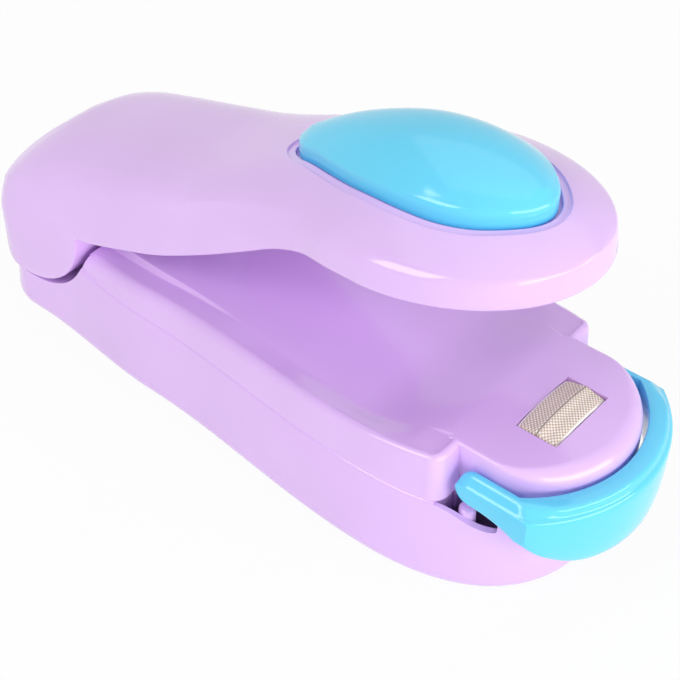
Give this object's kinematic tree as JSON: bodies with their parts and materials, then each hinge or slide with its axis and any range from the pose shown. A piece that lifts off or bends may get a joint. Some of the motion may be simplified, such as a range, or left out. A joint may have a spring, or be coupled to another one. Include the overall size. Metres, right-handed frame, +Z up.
{
  "type": "handheld heat sealer",
  "caption": "Handheld battery heat sealer: spoon-headed thumb lever with a leaf pad over a tray-shaped case, taped heating wire on the nose and a swinging safety clip round it.",
  "frame": {"origin": "centre of the footprint at the height of the resting face", "axes": "+X from the hinge to the nose, +Y to the far side, +Z up from the face it rests on"},
  "size_m": [0.1187, 0.043, 0.0617],
  "materials": {
    "case_plastic": "glossy moulded ABS",
    "blue_plastic": "glossy moulded ABS",
    "cell_jacket": "printed film over steel can",
    "spring_steel": "bright nickel plated",
    "brass": "bright stamped",
    "heater_ceramic": "unglazed ceramic",
    "resistance_wire": "oxidised nichrome",
    "glass_cloth": "woven glass cloth tape",
    "silicone": "soft moulded silicone",
    "red_lead": "vinyl insulation",
    "black_lead": "vinyl insulation",
    "white_lead": "vinyl insulation"
  },
  "bodies": {
    "case": {"lower_case": "case_plastic", "upper_case": "case_plastic", "near_cell": "cell_jacket", "far_cell": "cell_jacket", "near_cell_spring": "spring_steel", "far_cell_spring": "spring_steel", "rear_contact_plate": "spring_steel", "front_contact_plates": "spring_steel", "heater_block": "heater_ceramic", "heating_wire": "resistance_wire", "wire_terminals": "brass", "sealing_tape": "glass_cloth", "heater_bracket": "spring_steel", "bracket_screws": "spring_steel", "switch_lower_blade": "brass", "switch_clamp": "brass", "supply_lead": "red_lead", "switch_lead": "white_lead", "return_lead": "black_lead", "case_screws": "spring_steel", "hinge_pin": "spring_steel", "return_spring": "spring_steel"},
    "lever": {"lever": "case_plastic", "thumb_pad": "blue_plastic", "pressure_strip": "silicone"},
    "safety_clip": {"safety_clip": "blue_plastic"},
    "battery_door": {"battery_door": "case_plastic"},
    "switch_leaf": {"switch_upper_blade": "brass"}
  },
  "joints": [
    {"name": "lever_hinge", "type": "hinge", "parent": "case", "child": "lever", "pos_m": [-0.051, 0, 0.0235], "axis": [0, 1, 0], "range_deg": [0, 13.5], "stiffness_Nm_per_rad": 0.25, "springref_deg": -8.59, "deforming": ["return_spring"]},
    {"name": "clip_hinge", "type": "hinge", "parent": "case", "child": "safety_clip", "pos_m": [0.042, 0, 0.0188], "axis": [0, -1, 0], "range_deg": [0, 35]},
    {"name": "door_slide", "type": "slide", "parent": "case", "child": "battery_door", "axis": [-1, 0, 0], "range_m": [0, 0.006]},
    {"name": "switch_leaf_bend", "type": "hinge", "parent": "case", "child": "switch_leaf", "pos_m": [-0.015, 0, 0.01905], "axis": [0, -1, 0], "range_deg": [0, 16.74]}
  ],
  "couplings": [
    {"joint": "switch_leaf_bend", "follows": "lever_hinge", "ratio": 1.24}
  ]
}
